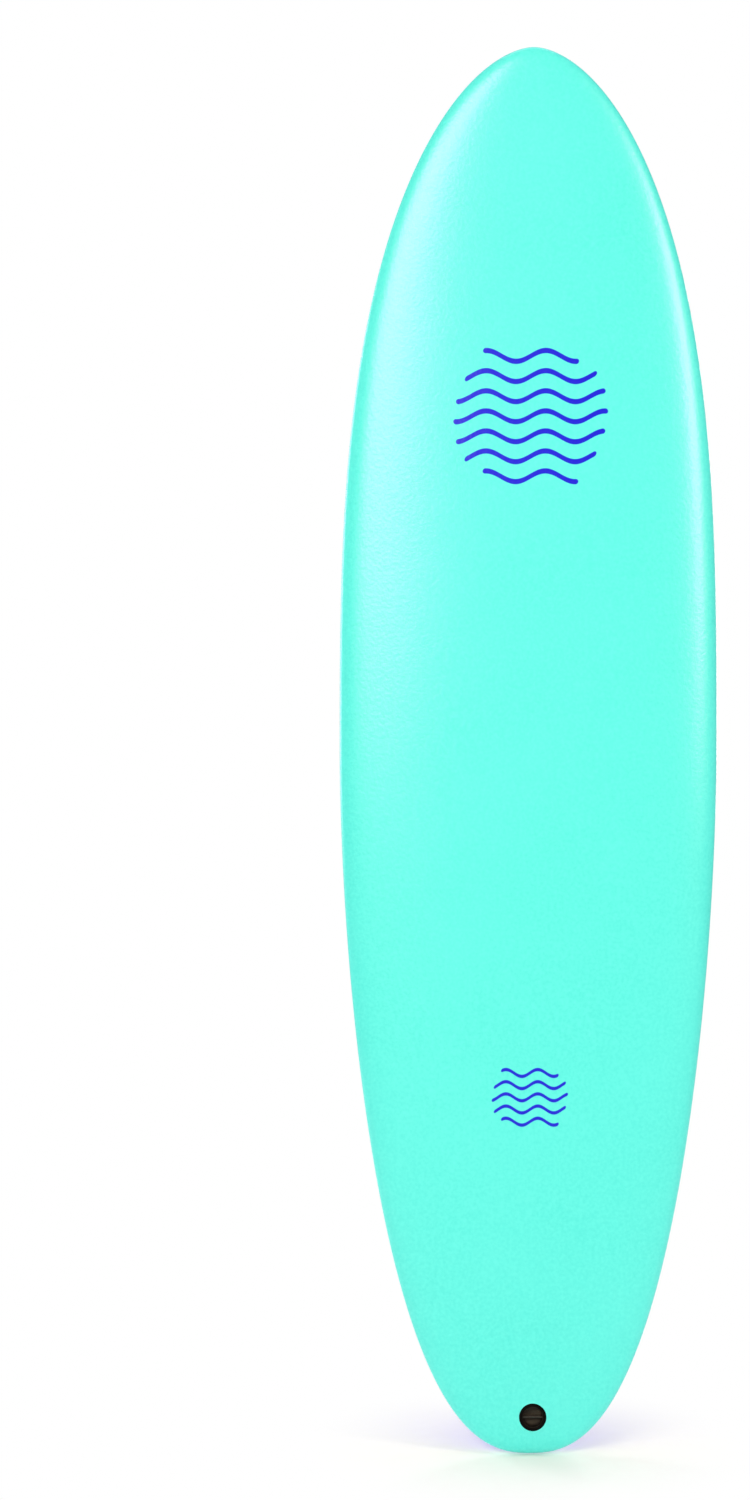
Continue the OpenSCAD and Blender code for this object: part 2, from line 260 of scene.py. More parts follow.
PLUG_X = 3 * MM
PLUG_Z = 48 * MM - TAIL_LEN
PLUG_HEIGHT = layer_thickness(PLUG_Z / TAIL_LEN, 0)
PLUG_SLOPE = (rocker(PLUG_Z - MM) - rocker(PLUG_Z + MM)) / (2 * MM)
PLUG_PLACE = (Matrix.Translation((PLUG_X, -rocker(PLUG_Z), PLUG_Z))
              @ Matrix.Rotation(math.pi / 2 - math.atan(PLUG_SLOPE), 4, "X"))

FLANGE_L = 130 * MM
FLANGE_W = 35 * MM
FLANGE_T = 1.8 * MM
FLANGE_POWER = 3.4
BOND_W = 0.8 * MM
PLUG_R = 18 * MM
PLUG_FLANGE_T = 2.4 * MM
HALF_TURN = Matrix.Rotation(math.pi, 4, "X")


def signed_power(value, power):
    return math.copysign(abs(value) ** power, value)


def oval(angle, length, width, power, height):
    """A point on a squared-off oval, long way along local Y."""
    return Vector((width / 2 * signed_power(math.cos(angle), 2 / power),
                   length / 2 * signed_power(math.sin(angle), 2 / power), height))


def ring_mesh(rings, steps=128, closed=False):
    """A skin through rings, each a function of the angle round it."""
    count = len(rings)

    def place(column, row):
        return rings[column % count](math.tau * (row % steps) / steps)

    bm = grid_mesh(count if closed else count - 1, steps, place)
    close_up(bm)
    return bm


def flange_ring(grow, height):
    return partial(oval, length=FLANGE_L + 2 * grow, width=FLANGE_W + 2 * grow,
                   power=FLANGE_POWER, height=height)


def flange_cutter(matrix):
    reach = 4 * MM
    return to_object(ring_mesh([flange_ring(BOND_W, -reach), flange_ring(BOND_W, reach)]), "cutter", matrix)


def disc_cutter(radius, low, high, matrix):
    bm = bmesh.new()
    bmesh.ops.create_cone(bm, cap_ends=True, segments=96, radius1=radius, radius2=radius, depth=high - low)
    bmesh.ops.translate(bm, verts=bm.verts, vec=(0, 0, (low + high) / 2))
    return to_object(bm, "cutter", matrix)


# ------------------------------------------------------------------ skins

STATIONS = 150


def station(row):
    """u of a row of points, with the rows closer together towards both tips."""
    if 0 < row < STATIONS:
        return math.sin(math.pi * row / STATIONS - math.pi / 2)
    return math.copysign(1, row - 1)


GROOVE = 0.5 * MM         # half the gap between the foam's edge and the slick's
FOAM_EDGE_R = 2.4 * MM    # the foam's pressed edge
EDGE_HIGHLIGHT_REACH = 1.8          # how far out from the seam the painted highlight reaches, in times that radius
SLICK_EDGE_W = 3.2 * MM   # over which the slick's edge rolls down
EDGE_STEPS = 5
RAIL_STEPS = 12
DECK_STEPS = 64
DECK_UNDER_STEPS = 20
SLICK_STEPS = 56
SLICK_UNDER_STEPS = 16
SKIN_SHARP = 50           # degrees


def edge_steps():
    """Angles round an edge, from the wall of the groove up to the surface."""
    return [math.pi / 2 * n / EDGE_STEPS for n in range(EDGE_STEPS + 1)]


def skin_object(name, columns, cutters):
    """A closed skin through lines along the board, each a function of u, less the cutters' shapes."""
    count = len(columns)
    bm = grid_mesh(count, STATIONS, lambda column, row: columns[column % count](station(row)))
    bmesh.ops.recalc_face_normals(bm, faces=bm.faces)
    skin = to_object(bm, name, sharp_over=SKIN_SHARP)
    cut(skin, cutters, SKIN_SHARP)
    return skin


def make_deck_skin():
    """Foam over the deck and round both rails to the seam, hollow where the core is."""
    rails, insides = [], []
    for side in (1, -1):
        edge = [partial(rail_point, share=0, side=side, inset=FOAM_EDGE_R * (1 - math.sin(a)),
                        away=GROOVE + FOAM_EDGE_R * (1 - math.cos(a))) for a in edge_steps()]
        rail = [partial(rail_point, share=math.sin(math.pi / 2 * n / RAIL_STEPS), side=side,
                        away=GROOVE + FOAM_EDGE_R) for n in range(1, RAIL_STEPS)]
        rails.append(edge + rail)
        insides.append([partial(rail_point, share=share, side=side, inset=SKIN_T, away=GROOVE)
                        for share in (0.0, 0.3, 0.7)])
    deck = [partial(deck_point, angle=math.pi * n / DECK_STEPS) for n in range(DECK_STEPS + 1)]
    under = [partial(deck_point, angle=math.pi * n / DECK_UNDER_STEPS, inset=SKIN_T)
             for n in range(DECK_UNDER_STEPS + 1)]
    columns = rails[0] + deck + rails[1][::-1] + insides[1] + under[::-1] + insides[0][::-1]
    hole = disc_cutter(PLUG_R, PLUG_HEIGHT / 2 - 9 * MM, PLUG_HEIGHT / 2 + 6 * MM, PLUG_PLACE)
    return skin_object("deck_foam_skin", columns, [hole])


def make_slick():
    """The bottom sheet, with a rolled edge and a hole for each fin box and the plug."""
    rolled = [(SLICK_T * (1 - math.sin(a)), GROOVE + SLICK_EDGE_W * (1 - math.cos(a)))
              for a in edge_steps()]
    right = [partial(slick_point, across=1, inset=inset, back=back) for inset, back in rolled]
    left = [partial(slick_point, across=-1, inset=inset, back=back) for inset, back in rolled[::-1]]
    flat = [partial(slick_point, across=math.cos(math.pi * n / SLICK_STEPS), back=GROOVE + SLICK_EDGE_W)
            for n in range(1, SLICK_STEPS)]
    under = [partial(slick_point, across=-math.cos(math.pi * n / SLICK_UNDER_STEPS),
                     inset=SLICK_T, back=GROOVE) for n in range(1, SLICK_UNDER_STEPS)]
    holes = [flange_cutter(place) for place in BOX_PLACES.values()]
    low = -PLUG_HEIGHT / 2
    holes.append(disc_cutter(PLUG_R + BOND_W, low - 5 * MM, low + 5 * MM, PLUG_PLACE))
    return skin_object("slick_bottom_sheet", right + flat + left + under, holes)


WELD_R = 0.9 * MM
WELD_DEPTH = 0.9 * MM
WELD_SIDES = 8


def make_seam_weld():
    """The bead at the foot of the groove between foam and slick, once round the board."""
    def centre(row):
        half = row % (2 * STATIONS)
        side = 1 if half <= STATIONS else -1
        u = station(half if side > 0 else 2 * STATIONS - half)
        x, z = seam_plan(u)
        return Vector((side * x, bottom_y(x, z, WELD_DEPTH), z))

    def place(column, row):
        along = (centre(row + 1) - centre(row - 1 + 2 * STATIONS)).normalized()
        up = Vector((0, 1, 0))
        out = along.cross(up).normalized()
        up = out.cross(along)
        turn = math.tau * (column % WELD_SIDES) / WELD_SIDES
        return centre(row) + WELD_R * (math.cos(turn) * up + math.sin(turn) * out)

    bm = grid_mesh(WELD_SIDES, 2 * STATIONS, place)
    bmesh.ops.recalc_face_normals(bm, faces=bm.faces)
    return to_object(bm, "seam_weld_bead")


# ------------------------------------------------------------------ fin boxes

SLOT_W = 5.4 * MM
SLOT_L = 67 * MM
SLOT_DEPTH = 15 * MM
SLOT_SHIFT = 1.5 * MM
POCKET_W = 7 * MM
POCKET_L = 14.5 * MM
POCKET_R = 1.5 * MM
BODY_L = 112 * MM
BODY_W = 23 * MM
BOX_DEPTH = 19 * MM
SCREW_X = 7.2 * MM
SCREW_Y = 24 * MM
SCREW_LEAN = 16
SCREW_BORE_R = 2.5 * MM
SCREW_BORE_L = 13 * MM
RIM = ((0.0, -1.2), (0.25, -0.75), (0.8, -0.35), (1.6, -0.1), (2.6, 0.0))  # inward and height, mm
PIN_MARK_R = 2.6 * MM     # the mould's ejector pins leave a mark near each end
PIN_MARK_Y = 51 * MM
PIN_MARK_DEPTH = 0.5 * MM
BOX_EDGE_R = 0.3 * MM
BOX_SHARP = 40            # degrees


def rounded_block(width, length, low, high, radius, middle_y, matrix):
    """A cutter with its four upright edges rounded."""
    bm = bmesh.new()
    bmesh.ops.create_cube(bm, size=1.0)
    bmesh.ops.scale(bm, vec=(width, length, high - low), verts=bm.verts)
    upright = [e for e in bm.edges if abs(e.verts[0].co.z - e.verts[1].co.z) > MM]
    bmesh.ops.bevel(bm, geom=upright, offset=radius, segments=5, profile=0.5, affect="EDGES", material=-1)
    bmesh.ops.translate(bm, verts=bm.verts, vec=(0, middle_y, (low + high) / 2))
    return to_object(bm, "cutter", matrix)


def make_fin_box(side, place):
    """One moulding: a flange with a soft rim, a slot with wide ends, and two leaning screw bores."""
    body = partial(oval, length=BODY_L, width=BODY_W, power=8)
    bed = partial(oval, length=BODY_L - 2 * MM, width=BODY_W - 2 * MM, power=8)
    rings = [partial(bed, height=-BOX_DEPTH), partial(body, height=-BOX_DEPTH + MM),
             partial(body, height=-FLANGE_T), flange_ring(0, -FLANGE_T)]
    rings += [flange_ring(-inward * MM, height * MM) for inward, height in RIM]
    rings.append(flange_ring(-5 * MM, 0.0))
    box = to_object(ring_mesh(rings), f"fin_box_moulding_{side}", place, BOX_SHARP)

    top = 2 * MM
    cutters = [rounded_block(SLOT_W, SLOT_L, -SLOT_DEPTH, top, POCKET_R, -SLOT_SHIFT, place)]
    for end in (1, -1):
        middle = end * (SLOT_L - POCKET_L) / 2 - SLOT_SHIFT
        cutters.append(rounded_block(POCKET_W, POCKET_L, -SLOT_DEPTH, top, POCKET_R, middle, place))
        bore = (place @ Matrix.Translation((end * SCREW_X, end * SCREW_Y - SLOT_SHIFT, 0))
                @ Matrix.Rotation(math.radians(end * SCREW_LEAN), 4, "Y"))
        cutters.append(disc_cutter(SCREW_BORE_R, -SCREW_BORE_L, 3 * MM, bore))
        mark = place @ Matrix.Translation((0, end * PIN_MARK_Y, 0))
        cutters.append(disc_cutter(PIN_MARK_R, -PIN_MARK_DEPTH, top, mark))
    cut(box, cutters, BOX_SHARP)
    edge = box.modifiers.new("moulded_edges", "BEVEL")
    edge.width = BOX_EDGE_R
    edge.segments = 2
    edge.limit_method = "ANGLE"
    edge.angle_limit = math.radians(BOX_SHARP)
    edge.harden_normals = True
    apply_modifiers(box)
    return box


BEAD_PROUD = 0.15 * MM
BEAD_SHOULDER = 0.6 * MM


def make_bond_rings():
    """The bead of adhesive left round each flange and round the plug's bottom flange."""
    joined = bmesh.new()
    for place in BOX_PLACES.values():
        rings = [flange_ring(0.0, -FLANGE_T), flange_ring(0.0, -BEAD_SHOULDER),
                 flange_ring(BOND_W * 0.5, BEAD_PROUD),
                 flange_ring(BOND_W, 0.0), flange_ring(BOND_W, -FLANGE_T)]
        add_ring(joined, rings, place)

    def circle(radius, height):
        return lambda a: Vector((radius * math.cos(a), radius * math.sin(a), height))

    top = PLUG_HEIGHT / 2
    rings = [circle(PLUG_R, top - PLUG_FLANGE_T), circle(PLUG_R, top - BEAD_SHOULDER),
             circle(PLUG_R + BOND_W * 0.5, top + BEAD_PROUD),
             circle(PLUG_R + BOND_W, top), circle(PLUG_R + BOND_W, top - PLUG_FLANGE_T)]
    add_ring(joined, rings, PLUG_PLACE @ HALF_TURN)
    return to_object(joined, "adhesive_beads", sharp_over=60)


def add_ring(joined, rings, matrix):
    part = ring_mesh(rings, closed=True)
    bmesh.ops.transform(part, matrix=matrix, verts=part.verts)
    mesh = bpy.data.meshes.new("part")
    part.to_mesh(mesh)
    part.free()
    joined.from_mesh(mesh)
    bpy.data.meshes.remove(mesh)


# ------------------------------------------------------------------ leash plug

CUP_R = 13 * MM
CUP_WALL = 2.5 * MM
CUP_DEPTH = 11 * MM
CUP_FLOOR = 3 * MM
CUP_BOSS_R = 4 * MM      # the low boss in the middle of the cup's floor
STEM_R = 7 * MM
BASE_R = 11 * MM
BASE_DISH_R = 13 * MM
BASE_DISH = 0.15 * MM
CUP_RIM_R = 1.4 * MM
BASE_RIM_R = 1.2 * MM


def make_plug_cup():
    """The deck half: a flange with a soft rim, a cup with drafted walls, and a stem below it."""
    top = PLUG_HEIGHT / 2
    floor = top - CUP_DEPTH
    under = floor - CUP_FLOOR
    stem_end = PLUG_FLANGE_T - top
    barrel = CUP_R + CUP_WALL
    profile = [(0, stem_end), (STEM_R, stem_end), (STEM_R, under), (barrel, under),
               (barrel, top - PLUG_FLANGE_T), (PLUG_R, top - PLUG_FLANGE_T)]
    profile += rounded(CUP_RIM_R, PLUG_R, top)
    profile += [(CUP_R + 0.9 * MM, top), (CUP_R + 0.3 * MM, top - 0.2 * MM), (CUP_R, top - 0.8 * MM),
                (CUP_R - 0.4 * MM, floor + 2 * MM), (CUP_R - 1 * MM, floor + 0.6 * MM),
                (CUP_R - 2.4 * MM, floor), (CUP_BOSS_R, floor),
                (CUP_BOSS_R - 0.6 * MM, floor + 0.5 * MM), (0, floor + 0.7 * MM)]
    return lathe("leash_plug_cup", profile, PLUG_PLACE)


def make_plug_base():
    """The bottom half, a flat disc with a socket for the cup's stem."""
    top = PLUG_HEIGHT / 2
    inside = top - PLUG_FLANGE_T
    socket_end = CUP_DEPTH + CUP_FLOOR - top + MM
    profile = [(0, inside), (STEM_R, inside), (STEM_R, socket_end), (BASE_R, socket_end),
               (BASE_R, inside), (PLUG_R, inside)]
    profile += rounded(BASE_RIM_R, PLUG_R, top)
    profile += [(BASE_DISH_R, top), (BASE_DISH_R - 0.4 * MM, top - BASE_DISH), (0, top - BASE_DISH)]
    return lathe("leash_plug_base", profile, PLUG_PLACE @ HALF_TURN)


# ------------------------------------------------------------------ materials

PRINT_SOFT = 0.3 * MM     # half the width over which a printed line fades out
EMBLEM = dict(radius=98 * MM, pitch=26 * MM, line_w=7 * MM, wave_h=7 * MM, wave_l=78 * MM, last=3)
MARK = dict(radius=48 * MM, pitch=16 * MM, line_w=4.6 * MM, wave_h=4.5 * MM, wave_l=42 * MM, last=2)
DECK_PRINT_Z = (443 * MM, -452 * MM)
BOTTOM_PRINT_Z = (420 * MM, -430 * MM)
WAVE_BANDS = 3.2          # about how many bands a Wave texture draws in one unit at scale 1
FADE_START = 20 * MM      # the floor's fade, measured from under the board's middle
FADE_END = 320 * MM


def colour(code):
    """An sRGB hex colour as linear light."""
    parts = [int(code[i:i + 2], 16) / 255 for i in (1, 3, 5)]
    return (*[c / 12.92 if c <= 0.04045 else ((c + 0.055) / 1.055) ** 2.4 for c in parts], 1.0)


def add(tree, kind, inputs=None, out=0, **settings):
    """Adds a node with its settings, its inputs set or linked, and gives the output named or numbered out.

    Mix has its factor at 0, its colours at 6 and 7 and its mixed colour at output 2.
    """
    made = tree.nodes.new("ShaderNode" + kind)
    for name, value in settings.items():
        setattr(made, name, value)
    for name, value in (inputs or {}).items():
        if isinstance(value, bpy.types.NodeSocket):
            tree.links.new(value, made.inputs[name])
        else:
            made.inputs[name].default_value = value
    return made.outputs[out] if made.outputs else None


def new_material(name):
    """A material, its cleared node tree, and the place on the board that its patterns are laid out by."""
    material = bpy.data.materials.new(name)
    material.use_nodes = True
    tree = material.node_tree
    tree.nodes.clear()
    return material, tree, add(tree, "TexCoord", out="Object")


def water_lines(tree, place, middle_z, radius, pitch, line_w, wave_h, wave_l, last):
    """Print mask: a stack of plain wavy lines with round ends, longest in the middle."""
    x, z = (add(tree, "SeparateXYZ", {0: place}, axis) for axis in "XZ")
    turns = add(tree, "Math", {0: x, 1: math.tau / wave_l}, operation="MULTIPLY")
    swing = add(tree, "Math", {0: turns}, operation="SINE")
    straight = add(tree, "Math", {0: z, 1: middle_z}, operation="SUBTRACT")
    level = add(tree, "Math", {0: swing, 1: -wave_h, 2: straight}, operation="MULTIPLY_ADD")
    line = add(tree, "Math", {0: level, 1: pitch}, operation="DIVIDE")
    line = add(tree, "Math", {0: line}, operation="ROUND")
    height = add(tree, "MapRange", {"Value": line, "From Min": -last, "From Max": last,
                                    "To Min": -last * pitch, "To Max": last * pitch})
    square = add(tree, "Math", {0: height, 1: height}, operation="MULTIPLY")
    reach = add(tree, "Math", {0: radius ** 2, 1: square}, operation="SUBTRACT")
    reach = add(tree, "Math", {0: reach}, operation="SQRT")
    out = add(tree, "Math", {0: x}, operation="ABSOLUTE")
    out = add(tree, "Math", {0: out, 1: reach}, operation="SUBTRACT")
    past_end = add(tree, "Math", {0: out, 1: 0.0}, operation="MAXIMUM")
    off_line = add(tree, "Math", {0: level, 1: height}, operation="SUBTRACT")
    away = add(tree, "CombineXYZ", {"X": off_line, "Y": past_end})
    away = add(tree, "VectorMath", {0: away}, "Value", operation="LENGTH")
    return add(tree, "MapRange", {"Value": away, "From Min": line_w / 2 + PRINT_SOFT,
                                  "From Max": line_w / 2 - PRINT_SOFT})


def board_print(tree, place, emblem_z, mark_z):
    """The large print on the nose half and the small one towards the tail."""
    emblem = water_lines(tree, place, emblem_z, **EMBLEM)
    mark = water_lines(tree, place, mark_z, **MARK)
    return add(tree, "Math", {0: emblem, 1: mark}, operation="MAXIMUM")


def deck_foam_material():
    """Cross-linked polyethylene foam, laminated hot: satin, with a fine closed-cell grain.

    Its cells are under 1 mm; they are drawn 4.5 mm across so that they show where the whole board is seen.
    """
    material, tree, place = new_material("crosslinked_foam_aqua")
    tone = add(tree, "TexNoise", {"Vector": place, "Scale": 1 / (160 * MM), "Detail": 2.0}, "Fac")
    tone = add(tree, "MapRange", {"Value": tone, "From Min": 0.35, "From Max": 0.65})
    base = add(tree, "Mix", {0: tone, 6: colour("#50eae5"), 7: colour("#55ece8")}, 2, data_type="RGBA")
    cells = add(tree, "TexNoise", {"Vector": place, "Scale": 1 / (4.5 * MM), "Detail": 5.0}, "Fac")
    grain = add(tree, "MapRange", {"Value": cells, "From Min": 0.3, "From Max": 0.75})
    base = add(tree, "Mix", {0: grain, 6: base, 7: colour("#60f2ed")}, 2, data_type="RGBA")
    # Painted highlight: a pale tint along the foam's rounded edge next to the seam, where light would catch
    # it
    edge_highlight = add(tree, "Attribute", out="Fac", attribute_name="painted_edge_highlight")
    base = add(tree, "Mix", {0: edge_highlight, 6: base, 7: colour("#d2fffd")}, 2, data_type="RGBA")

    # The print is on the deck's side only
    facing = add(tree, "SeparateXYZ", {0: add(tree, "NewGeometry", out="Normal")}, "Y")
    on_deck = add(tree, "Math", {0: facing, 1: 0.0}, operation="LESS_THAN")
    ink = board_print(tree, place, *DECK_PRINT_Z)
    ink = add(tree, "Math", {0: ink, 1: on_deck}, operation="MULTIPLY")
    base = add(tree, "Mix", {0: ink, 6: base, 7: colour("#0000dc")}, 2, data_type="RGBA")

    bump = add(tree, "Bump", {"Height": cells, "Strength": 0.5, "Distance": 0.6 * MM})
    shader = add(tree, "BsdfPrincipled", {"Base Color": base, "Roughness": 0.3, "Specular IOR Level": 0.62,
                                          "Normal": bump})
    add(tree, "OutputMaterial", {"Surface": shader})
    return material


def slick_material():
    """High-density polyethylene sheet, extruded and polished: waxy gloss, faint lengthwise ripple."""
    material, tree, place = new_material("polyethylene_sheet_blue")
    tone = add(tree, "TexNoise", {"Vector": place, "Scale": 1 / (220 * MM), "Detail": 2.0}, "Fac")
    tone = add(tree, "MapRange", {"Value": tone, "From Min": 0.35, "From Max": 0.65})
    base = add(tree, "Mix", {0: tone, 6: colour("#1400f8"), 7: colour("#1802ff")}, 2, data_type="RGBA")
    ink = board_print(tree, place, *BOTTOM_PRINT_Z)
    base = add(tree, "Mix", {0: ink, 6: base, 7: colour("#b0fdf6")}, 2, data_type="RGBA")

    along = add(tree, "Mapping", {"Vector": place, "Scale": (1, 1, 0.12)})
    ripple = add(tree, "TexNoise", {"Vector": along, "Scale": 1 / (26 * MM), "Detail": 2.0}, "Fac")
    bump = add(tree, "Bump", {"Height": ripple, "Strength": 0.10, "Distance": 0.5 * MM})
    along = add(tree, "Mapping", {"Vector": place, "Scale": (1, 1, 0.2)})
    scuff = add(tree, "TexNoise", {"Vector": along, "Scale": 1 / (1.4 * MM), "Detail": 3.0}, "Fac")
    bump = add(tree, "Bump", {"Height": scuff, "Strength": 0.04, "Distance": 0.1 * MM, "Normal": bump})
    rough = add(tree, "MapRange", {"Value": scuff, "From Min": 0.3, "From Max": 0.7,
                                   "To Min": 0.16, "To Max": 0.26})
    shader = add(tree, "BsdfPrincipled", {"Base Color": base, "Roughness": rough,
                                          "Specular IOR Level": 0.16, "Normal": bump})
    add(tree, "OutputMaterial", {"Surface": shader})
    return material


def moulded_material(name, dark, light, roughness, shine, dust=None):
    """Glass-filled nylon, moulded against a spark-eroded tool: near black, satin, with a fine tooth.

    dust is the colour that dried salt and sand leave inside the leash cup.
    """
    material, tree, place = new_material(name)
    cloud = add(tree, "TexNoise", {"Vector": place, "Scale": 1 / (14 * MM), "Detail": 2.0}, "Fac")
    cloud = add(tree, "MapRange", {"Value": cloud, "From Min": 0.35, "From Max": 0.65})
    base = add(tree, "Mix", {0: cloud, 6: colour(dark), 7: colour(light)}, 2, data_type="RGBA")
    if dust:
        middle = PLUG_PLACE @ Vector((0, 0, PLUG_HEIGHT / 2))
        across = add(tree, "VectorMath", {0: place, 1: middle}, operation="SUBTRACT")
        across = add(tree, "VectorMath", {0: across, 1: (1, 0, 1)}, operation="MULTIPLY")
        away = add(tree, "VectorMath", {0: across}, "Value", operation="LENGTH")
        inside = add(tree, "MapRange", {"Value": away, "From Min": 14 * MM, "From Max": 10 * MM})
        base = add(tree, "Mix", {0: inside, 6: base, 7: colour(dust)}, 2, data_type="RGBA")
    tooth = add(tree, "TexNoise", {"Vector": place, "Scale": 1 / (0.9 * MM), "Detail": 3.0}, "Fac")
    rough = add(tree, "MapRange", {"Value": tooth, "From Min": 0.3, "From Max": 0.7,
                                   "To Min": roughness - 0.06, "To Max": roughness + 0.06})
    bump = add(tree, "Bump", {"Height": tooth, "Strength": 0.25, "Distance": 0.12 * MM})
    shader = add(tree, "BsdfPrincipled", {"Base Color": base, "Roughness": rough,
                                          "Specular IOR Level": shine, "Normal": bump})
    add(tree, "OutputMaterial", {"Surface": shader})
    return material


def adhesive_material():
    """Hot-melt adhesive, squeezed out and trimmed: smooth, teal where it is thin over the foam."""
    material, tree, place = new_material("hot_melt_adhesive_teal")
    tone = add(tree, "TexNoise", {"Vector": place, "Scale": 1 / (9 * MM), "Detail": 2.0}, "Fac")
    tone = add(tree, "MapRange", {"Value": tone, "From Min": 0.35, "From Max": 0.65})
    base = add(tree, "Mix", {0: tone, 6: colour("#1f5fae"), 7: colour("#2f86b8")}, 2, data_type="RGBA")
    ripple = add(tree, "TexNoise", {"Vector": place, "Scale": 1 / (3 * MM), "Detail": 2.0}, "Fac")
    bump = add(tree, "Bump", {"Height": ripple, "Strength": 0.2, "Distance": 0.2 * MM})
    shader = add(tree, "BsdfPrincipled", {"Base Color": base, "Roughness": 0.3, "Specular IOR Level": 0.4,
                                          "Normal": bump})
    add(tree, "OutputMaterial", {"Surface": shader})
    return material


def turned_steel_material(name, dark, light, roughness):
    """Stainless steel, turned on a lathe: fine marks and soft highlights."""
    material, tree, place = new_material(name)
    across = add(tree, "Mapping", {"Vector": place, "Scale": (1, 6, 1)})
    marks = add(tree, "TexNoise", {"Vector": across, "Scale": 1 / (0.5 * MM), "Detail": 2.0}, "Fac")
    base = add(tree, "Mix", {0: marks, 6: colour(dark), 7: colour(light)}, 2, data_type="RGBA")
    bump = add(tree, "Bump", {"Height": marks, "Strength": 0.2, "Distance": 0.05 * MM})
    shader = add(tree, "BsdfPrincipled", {"Base Color": base, "Metallic": 1.0, "Roughness": roughness,
                                          "Normal": bump})
    add(tree, "OutputMaterial", {"Surface": shader})
    return material


def bead_foam_material():
    """Expanded polystyrene: beads 4 mm across, packed until their faces are flat."""
    material, tree, place = new_material("expanded_bead_foam")
    beads = add(tree, "TexVoronoi", {"Vector": place, "Scale": 1 / (4 * MM)}, "Distance")
    edge = add(tree, "MapRange", {"Value": beads, "From Min": 0.2, "From Max": 0.7})
    base = add(tree, "Mix", {0: edge, 6: colour("#f7f7f4"), 7: colour("#dcdcd6")}, 2, data_type="RGBA")
    bump = add(tree, "Bump", {"Height": beads, "Strength": 0.4, "Distance": 0.4 * MM})
    shader = add(tree, "BsdfPrincipled", {"Base Color": base, "Roughness": 0.7, "Normal": bump})
    add(tree, "OutputMaterial", {"Surface": shader})
    return material


def fine_foam_material(name, light, dark, cell_mm):
    """Dense closed-cell foam, sawn: matt, with open cells on the cut face."""
    material, tree, place = new_material(name)
    cells = add(tree, "TexVoronoi", {"Vector": place, "Scale": 1 / (cell_mm * MM)}, "Distance")
    edge = add(tree, "MapRange", {"Value": cells, "From Min": 0.1, "From Max": 0.8})
    base = add(tree, "Mix", {0: edge, 6: colour(light), 7: colour(dark)}, 2, data_type="RGBA")
    bump = add(tree, "Bump", {"Height": cells, "Strength": 0.5, "Distance": 0.3 * MM})
    shader = add(tree, "BsdfPrincipled", {"Base Color": base, "Roughness": 0.85, "Normal": bump})
    add(tree, "OutputMaterial", {"Surface": shader})
    return material


def plywood_material():
    """Birch plywood strip, sawn: grain 3 mm wide running along the board."""
    material, tree, place = new_material("birch_plywood")
    along = add(tree, "Mapping", {"Vector": place, "Scale": (1, 1, 0.04)})
    grain = add(tree, "TexNoise", {"Vector": along, "Scale": 1 / (3 * MM), "Detail": 4.0}, "Fac")
    tone = add(tree, "MapRange", {"Value": grain, "From Min": 0.3, "From Max": 0.7})
    base = add(tree, "Mix", {0: tone, 6: colour("#d9b27c"), 7: colour("#b98a52")}, 2, data_type="RGBA")
    bump = add(tree, "Bump", {"Height": grain, "Strength": 0.3, "Distance": 0.2 * MM})
    shader = add(tree, "BsdfPrincipled", {"Base Color": base, "Roughness": 0.6, "Normal": bump})
    add(tree, "OutputMaterial", {"Surface": shader})
    return material


def laminate_material():
    """Glass cloth in clear epoxy over white foam: the weave shows through a glossy film.

    Its threads are about 1 mm apart; they are drawn 4 mm apart so that they show.
    """
    material, tree, place = new_material("glass_cloth_epoxy")
    across, along = (add(tree, "TexWave", {"Vector": place, "Scale": 1 / (4 * MM) / WAVE_BANDS}, "Fac",
                         bands_direction=way) for way in ("X", "Z"))
    cloth = add(tree, "Math", {0: across, 1: along}, operation="MULTIPLY")
    base = add(tree, "Mix", {0: cloth, 6: colour("#d8cfae"), 7: colour("#ece6cf")}, 2, data_type="RGBA")
    bump = add(tree, "Bump", {"Height": cloth, "Strength": 0.2, "Distance": 0.15 * MM})
    shader = add(tree, "BsdfPrincipled", {"Base Color": base, "Roughness": 0.25, "Normal": bump})
    add(tree, "OutputMaterial", {"Surface": shader})
    return material


def floor_material():
    """Matt white paper round the board that fades into the white surroundings."""
    material, tree, place = new_material("white_paper")
    fibre = add(tree, "TexNoise", {"Vector": place, "Scale": 1 / (30 * MM), "Detail": 2.0}, "Fac")
    base = add(tree, "Mix", {0: fibre, 6: colour("#f4f4f4"), 7: colour("#fbfbfb")}, 2, data_type="RGBA")
    paper = add(tree, "BsdfDiffuse", {"Color": base})
    out = add(tree, "VectorMath", {0: place, 1: (1, 1, 0)}, operation="MULTIPLY")
    out = add(tree, "VectorMath", {0: out}, "Value", operation="LENGTH")
    fade = add(tree, "MapRange", {"Value": out, "From Min": FADE_START, "From Max": FADE_END},
               interpolation_type="SMOOTHSTEP")
    seen = add(tree, "LightPath", out="Is Camera Ray")
    fade = add(tree, "Math", {0: fade, 1: seen}, operation="MULTIPLY")
    white = add(tree, "Emission", {"Color": (1, 1, 1, 1), "Strength": 1.0})
    both = add(tree, "MixShader", {0: fade, 1: paper, 2: white})
    add(tree, "OutputMaterial", {"Surface": both})
    return material


def give(material, *objects):
    for made in objects:
        made.data.materials.clear()
        made.data.materials.append(material)


def give_node(material, *nodes):
    for name in nodes:
        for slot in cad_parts[name].material_slots:
            slot.material = material


# ------------------------------------------------------------------ camera, light and floor

CAMERA_DISTANCE = 3.68
CAMERA_RISE = math.radians(0.88)
BOARD_RIGHT = 204 * MM    # the board stands right of the view's middle
BOARD_DOWN = 5 * MM
LENS = 66.4
SENSOR = 36

WARM = "#fff0d8"
FILL = 0.325              # the surroundings' brightness as a light; they look white
FLOOR_HALF = 14
FLOOR_GAP = 2 * MM
